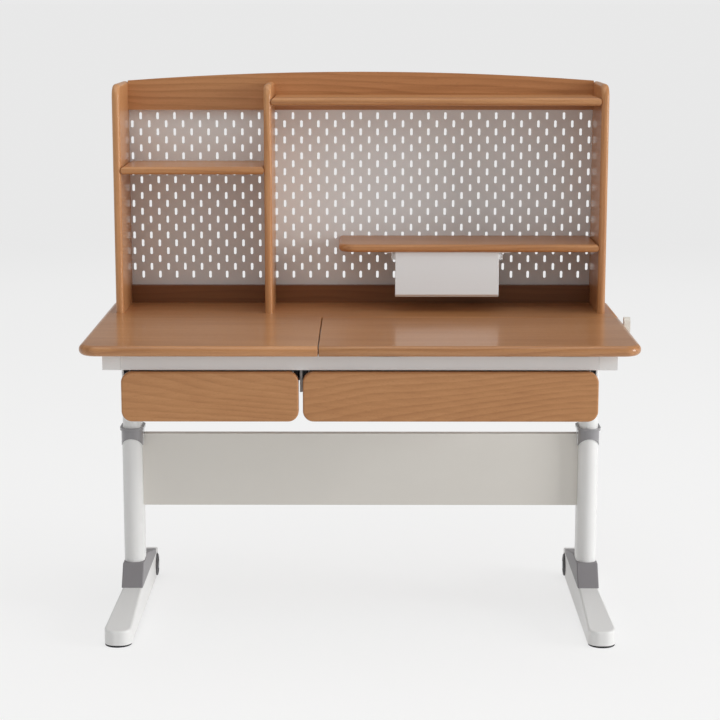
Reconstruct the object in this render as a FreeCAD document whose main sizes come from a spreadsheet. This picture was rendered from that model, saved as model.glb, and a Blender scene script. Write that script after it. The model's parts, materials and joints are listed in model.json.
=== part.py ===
import FreeCAD, Part
import math
import os
import re

import PartDesign
import Sketcher

# Height-adjustable student desk with a tilting top, two drawers and a hutch.
# Millimetres. +X right, +Y to the back, +Z up; the origin is on the floor under the middle of the top.

SIZES = {
    # worktop
    "top_width": 1200, "top_depth": 640, "top_thick": 23, "top_height": 684,
    "top_corner": 40, "rear_corner": 15, "edge_round": 11,
    "seam_left": 88, "seam_gap": 2, "strip_depth": 242,
    # steel frame under the top
    "rail_inset": 40, "rear_inset": 40, "rail_depth": 30, "frame_height": 35, "frame_wall": 2,
    "arm_inset": 49, "arm_width": 39,
    # feet
    "foot_setback": 55, "heel_inset": 10, "foot_width": 46, "foot_lift": 5, "foot_wall": 3,
    "nose_width": 63, "nose_height": 32, "nose_round": 26, "foot_height": 64, "foot_edge": 5,
    "toe_solid": 45, "heel_solid": 95,
    "glide_radius": 29.5, "glide_inset": 31, "rear_glide_radius": 19, "stud_radius": 4, "stud_length": 18,
    # transport wheels
    "wheel_radius": 27, "wheel_width": 16, "wheel_proud": 3, "wheel_lift": 4, "wheel_back": 24,
    "wheel_gap": 3, "axle_radius": 5, "axle_grip": 14, "axle_head": 9, "axle_cap": 1.5,
    # lifting columns
    "column_inset": 73, "column_setback": 361, "column_width": 46, "column_depth": 80,
    "column_wall": 1.8, "column_top": 430, "slide_clear": 0.4, "inner_wall": 1.6, "inner_bottom": 220,
    "collar_wall": 1.6, "collar_drop": 38, "collar_arch": 20, "collar_clear": 0.1,
    "rim_flare": 4.5, "rim_thick": 6,
    "cover_front": 36, "cover_back": 175, "cover_height": 50, "cover_tail": 10, "cover_side": 1.5,
    "cover_clear": 0.1, "cover_edge": 4, "cover_round": 3,
    # lift drive
    "post_wall": 4, "post_clear": 2, "post_top": 330, "nut_length": 30, "screw_radius": 8,
    "screw_bottom": 215, "shoulder_step": 3, "shoulder_length": 9, "journal_radius": 6,
    "journal_length": 12, "run_clear": 0.05, "rest_gap": 0.3,
    "gear_depth": 70, "gear_clear": 0.5, "flange_side": 1, "flange_over": 5,
    "flange_thick": 4, "shaft_radius": 5, "shaft_hole": 7,
    "crank_gap": 4, "crank_thick": 14, "crank_floor": 4, "crank_width": 22, "crank_rise": 36,
    "crank_drop": 13, "crank_wall": 4, "grip_radius": 4.7, "grip_clear": 0.6, "pivot_radius": 2,
    "pivot_length": 2.5,
    # modesty panel
    "panel_bottom": 249, "panel_height": 170, "panel_sheet": 2, "panel_flange": 22, "notch_clear": 0.5,
    # drawers
    "front_setback": 30, "front_thick": 18, "front_height": 108, "front_gap": 3, "front_side": 1,
    "front_corner": 23, "front_edge": 4, "front_space": 9, "middle_left": 126.5,
    "hanger_thick": 3, "middle_thick": 6, "hanger_drop": 89, "hanger_length": 240,
    "tray_depth": 292, "tray_rise": 15, "tray_drop": 2, "tray_wall": 2,
    "runner_space": 13, "runner_height": 24, "runner_lip": 9, "runner_sheet": 1.5, "runner_clear": 0.5,
    "runner_start": 3, "runner_end": 1, "runner_gap": 4,
    # tilting top's hinges and stay
    "hinge_length": 60, "hinge_side": 140, "knuckle_radius": 5, "pin_radius": 2.5, "knuckle_middle": 20,
    "knuckle_gap": 0.5, "leaf_thick": 2, "leaf_depth": 24, "hinge_clear": 0.6,
    "stay_reach": 140, "stay_drop": 12, "stay_inset": 153.5, "stay_bar": 5, "stay_width": 12, "stay_pin": 3,
    "stay_rod": 4, "stay_slack": 0.8, "tilt_limit": 40, "bracket_thick": 8, "bracket_length": 30,
    "bracket_height": 19, "track_gap": 12, "track_thick": 4, "side_gap": 0.5,
    # hutch
    "board": 18, "hutch_inset": 28, "hutch_depth": 188, "hutch_height": 531, "hutch_round": 32,
    "board_edge": 8, "divider_left": 223, "rail_low": 42, "rail_drop": 67, "rail_over": 2,
    "rail_crown": 20.5, "low_shelf": 143.5, "low_shelf_left": 51, "low_shelf_round": 36,
    "left_shelf": 324, "top_shelf_drop": 49,
    # slotted back sheet
    "sheet_thick": 2, "sheet_tongue": 8, "sheet_clear": 0.3, "slot_width": 6.2, "slot_length": 17,
    "slot_pitch": 40.5, "slot_row": 19.1, "slot_margin": 3, "slot_above": 6.5, "slot_below": 8,
    # hanging pencil box
    "box_centre": 202, "box_width": 242, "box_height": 107, "box_wall": 2,
    "box_inset": 10, "box_back": 28, "box_front": 3, "box_lip": 9, "box_lip_thick": 3, "box_lip_drop": 15,
    "box_floor_rise": 4, "holder_out": 26, "holder_sheet": 3, "box_side": 4,
}

# Places that follow from the sizes above.
DERIVED = {
    "front": "-(top_depth / 2)",
    "rear": "top_depth / 2",
    "underside": "top_height - top_thick",
    "seam": "-seam_left",
    "tilt_left": "seam + seam_gap / 2",
    "tilt_width": "top_width / 2 - tilt_left",
    "tilt_depth": "top_depth - strip_depth - seam_gap",
    "rail_front": "front + rail_inset",
    "rail_back": "rail_front + rail_depth",
    "arm_in": "top_width / 2 - arm_inset - arm_width",
    "rail_length": "2 * arm_in",
    "frame_bottom": "underside - frame_height",
    "arm_back": "rear - rear_inset",
    "arm_length": "arm_back - rail_front",
    "shaft_height": "underside - frame_height / 2",
    "column_y": "front + column_setback",
    "column_spacing": "top_width - 2 * column_inset",
    "cover_start": "column_y - column_depth / 2 - cover_edge - cover_front",
    "cover_width": "column_width + 2 * cover_side",
    "foot_nose": "front + foot_setback",
    "foot_heel": "rear - heel_inset",
    "foot_in": "column_spacing / 2 - foot_width / 2",
    "foot_length": "foot_heel - foot_nose",
    "foot_slope": "cover_start - foot_nose",
    "foot_top": "foot_lift + foot_height",
    "wheel_y": "foot_heel - wheel_back",
    "wheel_z": "wheel_lift + wheel_radius",
    "inner_width": "column_width - 2 * column_wall - 2 * slide_clear",
    "inner_depth": "column_depth - 2 * column_wall - 2 * slide_clear",
    "flange_bottom": "frame_bottom - flange_thick",
    "flange_width": "column_width - 2 * flange_side",
    "flange_depth": "column_depth + 2 * flange_over",
    "gear_width": "arm_width - 2 * frame_wall - 2 * gear_clear",
    "gear_height": "frame_height - frame_wall - 2 * gear_clear",
    "post_bore": "screw_radius + post_clear",
    "post_radius": "post_bore + post_wall",
    "shoulder_radius": "screw_radius + shoulder_step",
    "crank_in": "top_width / 2 + crank_gap",
    "crank_recess": "crank_in + crank_floor",
    "grip_x": "crank_recess + grip_clear + grip_radius",
    "grip_z": "shaft_height + crank_rise",
    "front_y": "front + front_setback",
    "tray_y": "front_y + front_thick",
    "front_top": "frame_bottom - front_gap",
    "front_bottom": "front_top - front_height",
    "front_span": "rail_length - 2 * front_side",
    "tray_bottom": "front_bottom + tray_rise",
    "tray_height": "front_height - tray_rise - tray_drop",
    "hanger_bottom": "underside - hanger_drop",
    "hanger_y": "rail_back",
    "runner_y": "hanger_y + runner_start",
    "runner_length": "hanger_length - runner_start - runner_end",
    "runner_z": "frame_bottom - runner_gap - runner_height",
    "stay_length": "stay_reach + stay_drop * tan(tilt_limit * 1 deg / 2)",
    "stay_centre": "(tilt_left + top_width / 2) / 2",
    "stay_half": "tilt_width / 2 - stay_inset",
    "stay_pivot_y": "rail_front + stay_reach",
    "stay_pivot_z": "underside - stay_drop",
    "hutch_front": "rear - hutch_depth",
    "hutch_half": "top_width / 2 - hutch_inset",
    "hutch_inner": "hutch_half - board",
    "rail_high_bottom": "hutch_height - rail_drop",
    "rail_end": "rail_drop + rail_over",
    "top_shelf": "hutch_height - top_shelf_drop",
    "sheet_front": "rear - sheet_thick",
    "board_back": "rear - board",
    "divider_x": "-divider_left",
    "sheet_low": "top_height + rail_low - sheet_tongue",
    "sheet_high": "top_height + rail_high_bottom + sheet_tongue",
    "shelf_under": "top_height + low_shelf",
    "box_bottom": "shelf_under - box_height",
    "box_y": "hutch_front + box_inset",
    "box_depth": "hutch_depth - board - box_inset - box_back",
    "lip_bottom": "shelf_under - box_lip_drop",
}

WORD = re.compile(r"[a-z_]+\b(?!\()")
LEFT_RIGHT = (("left", -1), ("right", 1))

doc = FreeCAD.newDocument("student_desk")
sheet = doc.addObject("Spreadsheet::Sheet", "Sizes")
for row, (alias, size) in enumerate(SIZES.items(), 1):
    sheet.set(f"A{row}", alias)
    sheet.set(f"B{row}", str(size))
    sheet.setAlias(f"B{row}", alias)
doc.recompute()

pieces = []


def expression(text):
    # Spell a rule in the names above as an expression on the sheet's cells.
    def spell(match):
        name = match.group(0)
        if name in DERIVED:
            return f"({expression(DERIVED[name])})"
        return f"Sizes.{name}" if name in SIZES else name
    return WORD.sub(spell, str(text))


def number(text):
    result = sheet.evalExpression(expression(text))
    return float(getattr(result, "Value", result))


def bind(item, **rules):
    for name, rule in rules.items():
        item.setExpression(name, expression(rule))


def place(item, x, y, z):
    for axis, rule in zip("xyz", (x, y, z)):
        item.setExpression(f"Placement.Base.{axis}", expression(rule))


def keep(item, label):
    # Name a finished sub-part; its label is its file's name.
    item.Label = label
    pieces.append(item)
    return item


def box(name, corner, sizes):
    item = doc.addObject("Part::Box", name)
    bind(item, Length=sizes[0], Width=sizes[1], Height=sizes[2])
    place(item, *corner)
    return item


def cylinder(name, centre, radius, length, axis="z"):
    # A round bar from its start point along the positive axis.
    item = doc.addObject("Part::Cylinder", name)
    bind(item, Radius=radius, Height=length)
    turns = {"x": ((0, 1, 0), 90), "y": ((1, 0, 0), -90), "z": ((0, 0, 1), 0)}
    direction, angle = turns[axis]
    item.Placement.Rotation = FreeCAD.Rotation(FreeCAD.Vector(*direction), angle)
    place(item, *centre)
    return item


def cut(base, *tools):
    doc.recompute()
    for tool in tools:
        item = doc.addObject("Part::Cut", base.Name + "_cut")
        item.Base = base
        item.Tool = tool
        doc.recompute()
        if item.Shape.Volume > base.Shape.Volume - 1e-6:
            raise RuntimeError(f"{tool.Label} cuts nothing from {base.Label}")
        base = item
    return base


def fuse(base, *others):
    for other in others:
        item = doc.addObject("Part::Fuse", base.Name + "_fuse")
        item.Base = base
        item.Tool = other
        item.Refine = True
        base = item
    doc.recompute()
    return base


def group(name, members):
    item = doc.addObject("Part::Compound", name + "_set")
    item.Links = members
    return keep(item, name)


def new_body(name):
    return doc.addObject("PartDesign::Body", name)


def new_sketch(body, plane):
    sketch = body.newObject("Sketcher::SketchObject", body.Name + "_outline")
    support = next(item for item in body.Origin.OriginFeatures if item.Role == plane)
    sketch.AttachmentSupport = [(support, "")]
    sketch.MapMode = "FlatFace"
    return sketch


def tie(sketch, kind, line, rule):
    # Hold a line's start point at its distance from the sketch's origin.
    size = number(rule)
    if abs(size) < 1e-9:
        axis = -2 if kind == "DistanceX" else -1
        sketch.addConstraint(Sketcher.Constraint("PointOnObject", line, 1, axis))
        return
    index = sketch.addConstraint(Sketcher.Constraint(kind, -1, 1, line, 1, size))
    sketch.setExpression(f"Constraints[{index}]", expression(rule))


def polygon(body, plane, points):
    sketch = new_sketch(body, plane)
    corners = [FreeCAD.Vector(number(x), number(y), 0) for x, y in points]
    count = len(points)
    for index in range(count):
        sketch.addGeometry(Part.LineSegment(corners[index], corners[(index + 1) % count]), False)
    for index in range(count):
        sketch.addConstraint(Sketcher.Constraint("Coincident", index, 2, (index + 1) % count, 1))
    for index, (x, y) in enumerate(points):
        tie(sketch, "DistanceX", index, x)
        tie(sketch, "DistanceY", index, y)
    return sketch


def pad(body, sketch, length, reverse=False):
    feature = body.newObject("PartDesign::Pad", body.Name + "_pad")
    feature.Profile = sketch
    feature.Reversed = reverse
    bind(feature, Length=length)
    sketch.Visibility = False
    doc.recompute()
    return feature


def pocket(body, sketch, length):
    # Cut an outline away along its plane's normal.
    before = body.Shape.Volume
    feature = body.newObject("PartDesign::Pocket", body.Name + "_pocket")
    feature.Profile = sketch
    feature.Reversed = True
    bind(feature, Length=length)
    sketch.Visibility = False
    doc.recompute()
    if body.Shape.Volume > before - 1e-6:
        raise RuntimeError(f"{sketch.Label} cuts nothing from {body.Label}")
    return feature


def fillet(body, radius, chosen):
    # Round every edge of the body that passes the test.
    base = body.Tip
    edges = [f"Edge{index}" for index, edge in enumerate(base.Shape.Edges, 1) if chosen(edge)]
    if not edges:
        raise RuntimeError(f"no edge to round on {body.Label}")
    feature = body.newObject("PartDesign::Fillet", body.Name + "_round")
    feature.Base = (base, edges)
    bind(feature, Radius=radius)
    doc.recompute()
    return feature


def along(edge, axis):
    # A straight edge that runs along the named axis.
    spans = [edge.BoundBox.XLength, edge.BoundBox.YLength, edge.BoundBox.ZLength]
    wanted = spans.pop("xyz".index(axis))
    return wanted > 1e-6 and max(spans) < 1e-6


def near(value, rule):
    return abs(value - number(rule)) < 1e-6


def prism(name, plane, points, length, corner):
    # A straight-sided outline pushed along its plane's normal, towards +X, +Y or +Z.
    body = new_body(name)
    pad(body, polygon(body, plane, points), length, reverse=plane == "XZ_Plane")
    place(body, *corner)
    return body


def rectangle(width, depth):
    return [("0", "0"), (width, "0"), (width, depth), ("0", depth)]


def oval(name, width, depth, height, centre):
    # An upright bar with flat sides and round front and back.
    body = new_body(name)
    sketch = new_sketch(body, "XY_Plane")
    radius = number(width) / 2
    half = number(depth) / 2 - radius
    for offset, start in ((half, 0), (-half, math.pi)):
        circle = Part.Circle(FreeCAD.Vector(0, offset, 0), FreeCAD.Vector(0, 0, 1), radius)
        sketch.addGeometry(Part.ArcOfCircle(circle, start, start + math.pi), False)
    for side, ends in ((-1, (half, -half)), (1, (-half, half))):
        points = [FreeCAD.Vector(side * radius, y, 0) for y in ends]
        sketch.addGeometry(Part.LineSegment(*points), False)
    for arc, arc_end, line, line_end in ((0, 2, 2, 1), (2, 2, 1, 1), (1, 2, 3, 1), (3, 2, 0, 1)):
        sketch.addConstraint(Sketcher.Constraint("Tangent", arc, arc_end, line, line_end))
    sketch.addConstraint(Sketcher.Constraint("PointOnObject", 0, 3, -2))
    sketch.addConstraint(Sketcher.Constraint("Symmetric", 0, 3, 1, 3, -1, 1))
    index = sketch.addConstraint(Sketcher.Constraint("Radius", 0, radius))
    sketch.setExpression(f"Constraints[{index}]", expression(f"({width}) / 2"))
    index = sketch.addConstraint(Sketcher.Constraint("DistanceY", -1, 1, 0, 3, half))
    sketch.setExpression(f"Constraints[{index}]", expression(f"(({depth}) - ({width})) / 2"))
    pad(body, sketch, height)
    place(body, *centre)
    return body


def make_foot(side, sign):
    # Hollow foot, widest at its low round nose; the top rises to the column, then runs level to the heel.
    outline = [("0", "0"), ("nose_width", "0"), ("foot_width", "foot_slope"), ("foot_width", "foot_length"),
               ("0", "foot_length")]
    start = "foot_in"
    if sign < 0:
        outline = [(f"nose_width - {x}", y) for x, y in reversed(outline)]
        start = "-(foot_in + nose_width)"
    body = prism(f"{side}_foot_blank", "XY_Plane", outline, "foot_height", (start, "foot_nose", "foot_lift"))
    above = [("0", "nose_height"), ("foot_slope", "foot_height"), ("0", "foot_height")]
    pocket(body, polygon(body, "YZ_Plane", above), "nose_width")
    fillet(body, "nose_round", lambda edge: along(edge, "z") and near(edge.BoundBox.YMax, "0"))
    fillet(body, "foot_edge", lambda edge: edge.BoundBox.ZMin > number("nose_height") - 1)
    hollow_length = "foot_length - toe_solid - heel_solid"
    slope = "(foot_height - nose_height) / foot_slope"
    hollow = [("0", "0"), (hollow_length, "0"), (hollow_length, "foot_height - foot_wall"),
              ("foot_slope - toe_solid", "foot_height - foot_wall"),
              ("0", f"nose_height - foot_wall + toe_solid * {slope}")]
    void = prism(f"{side}_foot_void", "YZ_Plane", hollow, "foot_width - 2 * foot_wall",
                 (f"{sign} * column_spacing / 2 - foot_width / 2 + foot_wall", "foot_nose + toe_solid",
                  "foot_lift"))
    inner = f"{sign} * foot_in"
    depth = "wheel_width - wheel_proud + wheel_gap"
    well_x = inner if sign > 0 else f"{inner} - ({depth})"
    well = cylinder(f"{side}_wheel_well", (well_x, "wheel_y", "wheel_z"), "wheel_radius + wheel_gap",
                    depth, "x")
    axle_x = f"{inner} + ({depth})" if sign > 0 else f"{inner} - ({depth}) - axle_grip"
    axle_hole = cylinder(f"{side}_axle_hole", (axle_x, "wheel_y", "wheel_z"), "axle_radius + run_clear",
                         "axle_grip", "x")
    studs = []
    for end, middle, spot, _ in glide_spots():
        hole_start = (f"{sign} * ({middle})", spot, "foot_lift")
        studs.append(cylinder(f"{side}_{end}_stud_hole", hole_start, "stud_radius + run_clear",
                              "stud_length"))
    keep(cut(body, void, well, axle_hole, *studs), f"{side}_foot")


def glide_spots():
    # Distance out from the middle, place along the foot and radius of each foot's two glides.
    return (("front", "foot_in + nose_width / 2", "foot_nose + glide_inset", "glide_radius"),
            ("rear", "column_spacing / 2", "foot_heel - heel_solid + glide_inset", "rear_glide_radius"))


def make_glides():
    # Rubber-soled glides, each with a stud up into its foot.
    members = []
    for side, sign in LEFT_RIGHT:
        for end, middle, spot, radius in glide_spots():
            name = f"{side}_{end}_glide"
            x = f"{sign} * ({middle})"
            sole = cylinder(name + "_sole", (x, spot, "0"), radius, "foot_lift")
            stud = cylinder(name + "_stud", (x, spot, "foot_lift"), "stud_radius", "stud_length")
            members.append(fuse(sole, stud))
    group("floor_glides", members)


def make_wheel(side, sign):
    inner = f"{sign} * foot_in"
    outer_face = f"{inner} - {sign} * wheel_proud"
    start = outer_face if sign > 0 else f"{outer_face} - wheel_width"
    centre = (start, "wheel_y", "wheel_z")
    tread = cylinder(f"{side}_wheel_disc", centre, "wheel_radius", "wheel_width", "x")
    bore = cylinder(f"{side}_wheel_bore", centre, "axle_radius + run_clear", "wheel_width", "x")
    keep(cut(tread, bore), f"{side}_wheel")


def make_axles():
    # Each axle is driven into its foot and holds its wheel with a flat head.
    members = []
    for side, sign in LEFT_RIGHT:
        inner = f"{sign} * foot_in"
        face = f"{inner} - {sign} * (wheel_proud + rest_gap)"
        length = "wheel_width + rest_gap + wheel_gap + axle_grip"
        pin_x = face if sign > 0 else f"{face} - ({length})"
        head_x = f"{face} - axle_cap" if sign > 0 else face
        pin = cylinder(f"{side}_axle_pin", (pin_x, "wheel_y", "wheel_z"), "axle_radius", length, "x")
        head = cylinder(f"{side}_axle_head", (head_x, "wheel_y", "wheel_z"), "axle_head", "axle_cap", "x")
        members.append(fuse(pin, head))
    group("wheel_axles", members)


def make_outer_column(side, sign):
    x = f"{sign} * column_spacing / 2"
    centre = (x, "column_y", "foot_top")
    height = "column_top - foot_top"
    tube = oval(f"{side}_outer_tube", "column_width", "column_depth", height, centre)
    bore = oval(f"{side}_outer_bore", "column_width - 2 * column_wall", "column_depth - 2 * column_wall",
                height, centre)
    keep(cut(tube, bore), f"{side}_outer_column")


def make_collar(side, sign):
    # Guide collar: a flared rim over the tube's end and a skirt with an arched lower edge.
    x = f"{sign} * column_spacing / 2"
    low = "column_top - collar_drop"
    skirt = oval(f"{side}_collar_skirt", "column_width + 2 * collar_wall", "column_depth + 2 * collar_wall",
                 "collar_drop", (x, "column_y", low))
    rim = oval(f"{side}_collar_rim", "column_width + 2 * rim_flare", "column_depth + 2 * rim_flare",
               "rim_thick", (x, "column_y", "column_top"))
    seat = oval(f"{side}_collar_seat", "column_width + 2 * collar_clear", "column_depth + 2 * collar_clear",
                "collar_drop", (x, "column_y", low))
    guide = oval(f"{side}_collar_guide", "inner_width + 2 * slide_clear", "inner_depth + 2 * slide_clear",
                 "collar_drop + rim_thick", (x, "column_y", low))
    half = "(column_width / 2 + collar_wall)"
    arch_radius = f"({half} * {half} + collar_arch * collar_arch) / (2 * collar_arch)"
    arch_start = "column_y - column_depth / 2 - rim_flare"
    arch = cylinder(f"{side}_collar_arch", (x, arch_start, f"{low} + collar_arch - {arch_radius}"),
                    arch_radius, "column_depth + 2 * rim_flare", "y")
    keep(cut(fuse(skirt, rim), seat, guide, arch), f"{side}_collar")


def make_foot_cover(side, sign):
    # Saddle over the column's base, steep at the front, with a long tail down to the heel.
    top_length = "column_depth + 2 * cover_edge"
    full_length = f"cover_front + {top_length} + cover_back"
    profile = [("0", "0"), (full_length, "0"), (full_length, "cover_tail"),
               (f"cover_front + {top_length}", "cover_height"), ("cover_front", "cover_height")]
    corner = (f"{sign} * column_spacing / 2 - cover_width / 2",
              "cover_start", "foot_top")
    body = prism(f"{side}_cover_blank", "YZ_Plane", profile, "cover_width", corner)
    fillet(body, "cover_round", lambda edge: edge.BoundBox.ZMax > 1 and edge.BoundBox.XLength < 1e-6)
    hole = oval(f"{side}_cover_hole", "column_width + 2 * cover_clear", "column_depth + 2 * cover_clear",
                "cover_height", (f"{sign} * column_spacing / 2", "column_y", "foot_top"))
    keep(cut(body, hole), f"{side}_foot_cover")


def make_inner_column(side, sign):
    centre = (f"{sign} * column_spacing / 2", "column_y", "inner_bottom")
    height = "flange_bottom - inner_bottom"
    tube = oval(f"{side}_inner_tube", "inner_width", "inner_depth", height, centre)
    bore = oval(f"{side}_inner_bore", "inner_width - 2 * inner_wall", "inner_depth - 2 * inner_wall",
                height, centre)
    keep(cut(tube, bore), f"{side}_inner_column")


def make_nut_post(side, sign):
    # Post on the foot with the fixed lift nut at its top.
    base = (f"{sign} * column_spacing / 2", "column_y", "foot_top")
    post = cylinder(f"{side}_post", base, "post_radius", "post_top - foot_top")
    bore = cylinder(f"{side}_post_bore", base, "post_bore", "post_top - foot_top - nut_length")
    thread = cylinder(f"{side}_nut_bore", base, "screw_radius + run_clear", "post_top - foot_top")
    keep(cut(post, bore, thread), f"{side}_nut_post")


def make_screw(side, sign):
    # Lift screw hung from its gearbox by a journal.
    x = f"{sign} * column_spacing / 2"
    shoulder_z = "flange_bottom - rest_gap - shoulder_length"
    rod = cylinder(f"{side}_screw_rod", (x, "column_y", "screw_bottom"), "screw_radius",
                   f"{shoulder_z} - screw_bottom")
    shoulder = cylinder(f"{side}_screw_shoulder", (x, "column_y", shoulder_z), "shoulder_radius",
                        "shoulder_length")
    journal = cylinder(f"{side}_screw_journal", (x, "column_y", "flange_bottom - rest_gap"),
                       "journal_radius", "journal_length")
    keep(fuse(rod, shoulder, journal), f"{side}_lift_screw")


def make_gearbox(side, sign):
    # Closed bevel-gear housing on the flange that caps the inner column.
    x = f"{sign} * column_spacing / 2"
    flange = box(f"{side}_gear_flange", (f"{x} - flange_width / 2", "column_y - flange_depth / 2",
                 "flange_bottom"), ("flange_width", "flange_depth", "flange_thick"))
    arm_middle = f"{sign} * (arm_in + arm_width / 2)"
    block = box(f"{side}_gear_block", (f"{arm_middle} - gear_width / 2", "column_y - gear_depth / 2",
                "frame_bottom"), ("gear_width", "gear_depth", "gear_height"))
    journal = cylinder(f"{side}_gear_journal", (x, "column_y", "flange_bottom"),
                       "journal_radius + run_clear", "journal_length + rest_gap")
    cross = cylinder(f"{side}_gear_cross", (f"{arm_middle} - gear_width / 2", "column_y", "shaft_height"),
                     "shaft_radius + run_clear", "gear_width", "x")
    keep(cut(fuse(flange, block), journal, cross), f"{side}_gearbox")


def make_arm(side, sign):
    # Side arm of the frame: a channel open below, closed at its ends.
    start = "arm_in" if sign > 0 else "-(arm_in + arm_width)"
    outer = box(f"{side}_arm_bar", (start, "rail_front", "frame_bottom"),
                ("arm_width", "arm_length", "frame_height"))
    inside = box(f"{side}_arm_inside", (f"{start} + frame_wall", "rail_front + frame_wall", "frame_bottom"),
                 ("arm_width - 2 * frame_wall", "arm_length - 2 * frame_wall", "frame_height - frame_wall"))
    hole_x = start if sign > 0 else f"{start} + arm_width / 2"
    hole_length = "arm_width" if sign > 0 else "arm_width / 2"
    hole = cylinder(f"{side}_arm_hole", (hole_x, "column_y", "shaft_height"), "shaft_hole",
                    hole_length, "x")
    keep(cut(outer, inside, hole), f"{side}_frame_arm")


def make_rail(name, y, open_back):
    # Cross rail between the arms: a channel that opens towards the middle of the desk.
    bar = box(name + "_bar", ("-arm_in", y, "frame_bottom"), ("rail_length", "rail_depth", "frame_height"))
    inside_y = f"{y} + frame_wall" if open_back else y
    inside = box(name + "_inside", ("-arm_in + frame_wall", inside_y, "frame_bottom + frame_wall"),
                 ("rail_length - 2 * frame_wall", "rail_depth - frame_wall",
                  "frame_height - 2 * frame_wall"))
    return cut(bar, inside)


def hinge_starts():
    # Left end of each hinge, the same distance in from both sides of the tilting top.
    return (("left", "tilt_left + hinge_side - hinge_length / 2"),
            ("right", "top_width / 2 - hinge_side - hinge_length / 2"))


def make_rails():
    notches = []
    for side, start in hinge_starts():
        corner = (f"{start} - hinge_clear", "rail_front", "underside - knuckle_radius - hinge_clear")
        reach = "knuckle_radius + hinge_clear"
        sizes = ("hinge_length + 2 * hinge_clear", reach, reach)
        notches.append(box(f"{side}_rail_notch", corner, sizes))
    keep(cut(make_rail("front_rail", "rail_front", True), *notches), "front_frame_rail")
    keep(make_rail("rear_rail", "arm_back - rail_depth", False), "rear_frame_rail")


def make_hinges():
    # Two butt hinges under the front of the tilting top, on the rail's upper front corner.
    fixed, moving, pins = [], [], []
    for side, start in hinge_starts():
        axis = ("rail_front", "underside")
        middle = f"{start} + hinge_length / 2 - knuckle_middle / 2"
        barrel = cylinder(f"{side}_fixed_knuckle", (middle, *axis), "knuckle_radius", "knuckle_middle", "x")
        leaf = box(f"{side}_fixed_leaf", (middle, "rail_front", "underside - frame_wall - leaf_thick"),
                   ("knuckle_middle", "leaf_depth", "leaf_thick"))
        hole = cylinder(f"{side}_fixed_bore", (middle, *axis), "pin_radius + run_clear",
                        "knuckle_middle", "x")
        fixed.append(cut(fuse(barrel, leaf), hole))
        end_length = "(hinge_length - knuckle_middle) / 2 - knuckle_gap"
        plate_y = "rail_front + knuckle_radius + hinge_clear"
        plate = box(f"{side}_moving_plate", (start, plate_y, "underside"),
                    ("hinge_length", "leaf_depth", "leaf_thick"))
        solids, holes = [], []
        for end, x in (("near", start), ("far", f"{start} + hinge_length - ({end_length})")):
            solids.append(cylinder(f"{side}_{end}_knuckle", (x, *axis), "knuckle_radius", end_length, "x"))
            solids.append(box(f"{side}_{end}_lug", (x, "rail_front", "underside"),
                              (end_length, "knuckle_radius + hinge_clear", "leaf_thick")))
            holes.append(cylinder(f"{side}_{end}_bore", (x, *axis), "pin_radius + run_clear",
                                  end_length, "x"))
        moving.append(cut(fuse(plate, *solids), *holes))
        pins.append(cylinder(f"{side}_hinge_pin", (start, *axis), "pin_radius", "hinge_length", "x"))
    group("hinge_fixed_leaves", fixed)
    group("hinge_moving_leaves", moving)
    group("hinge_pins", pins)


def outer_edge(edge, seam_x, seam_y):
    # An edge of the top or bottom face that isn't on the seam between the two tops.
    bounds = edge.BoundBox
    if bounds.ZLength > 1e-6:
        return False
    on_side = near(bounds.XMin, seam_x) and near(bounds.XMax, seam_x)
    on_back = near(bounds.YMin, seam_y) and near(bounds.YMax, seam_y)
    return not (on_side or on_back)


def make_fixed_top():
    # L-shaped fixed top: the left part and the strip behind the tilting top, which carries the hutch.
    left = "top_width / 2 - seam_left - seam_gap / 2"
    back = "tilt_depth + seam_gap"
    outline = [("0", "0"), (left, "0"), (left, back), ("top_width", back), ("top_width", "top_depth"),
               ("0", "top_depth")]
    body = prism("fixed_top_board", "XY_Plane", outline, "top_thick",
                 ("-top_width / 2", "front", "underside"))
    fillet(body, "top_corner", lambda edge: along(edge, "z") and near(edge.BoundBox.XMax, "0")
           and near(edge.BoundBox.YMax, "0"))
    fillet(body, "rear_corner", lambda edge: along(edge, "z") and near(edge.BoundBox.YMax, "top_depth"))
    fillet(body, "edge_round", lambda edge: outer_edge(edge, left, back))
    keep(body, "fixed_top")


def make_tilting_top():
    body = prism("tilting_board", "XY_Plane", rectangle("tilt_width", "tilt_depth"), "top_thick",
                 ("tilt_left", "front", "underside"))
    fillet(body, "top_corner", lambda edge: along(edge, "z") and near(edge.BoundBox.XMax, "tilt_width")
           and near(edge.BoundBox.YMax, "0"))
    fillet(body, "edge_round", lambda edge: outer_edge(edge, "0", "tilt_depth"))
    recesses = []
    for side, start in hinge_starts():
        first = f"{start} - hinge_clear"
        length = "hinge_length + 2 * hinge_clear"
        recesses.append(cylinder(f"{side}_hinge_groove", (first, "rail_front", "underside"),
                                 "knuckle_radius + hinge_clear", length, "x"))
        recesses.append(box(f"{side}_leaf_recess", (first, "rail_front", "underside"),
                            (length, "leaf_depth + knuckle_radius + 2 * hinge_clear", "leaf_thick")))
    keep(cut(body, *recesses), "tilting_top")


def stay_sides():
    # Each stay bar's centre plane and the way out from it.
    return (("left", "stay_centre - stay_half", -1), ("right", "stay_centre + stay_half", 1))


def outward(plane, sign, distance, thickness):
    # Left face of a plate that starts at a distance outside a plane.
    if sign > 0:
        return f"{plane} + {distance}"
    return f"{plane} - {distance} - {thickness}"


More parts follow.
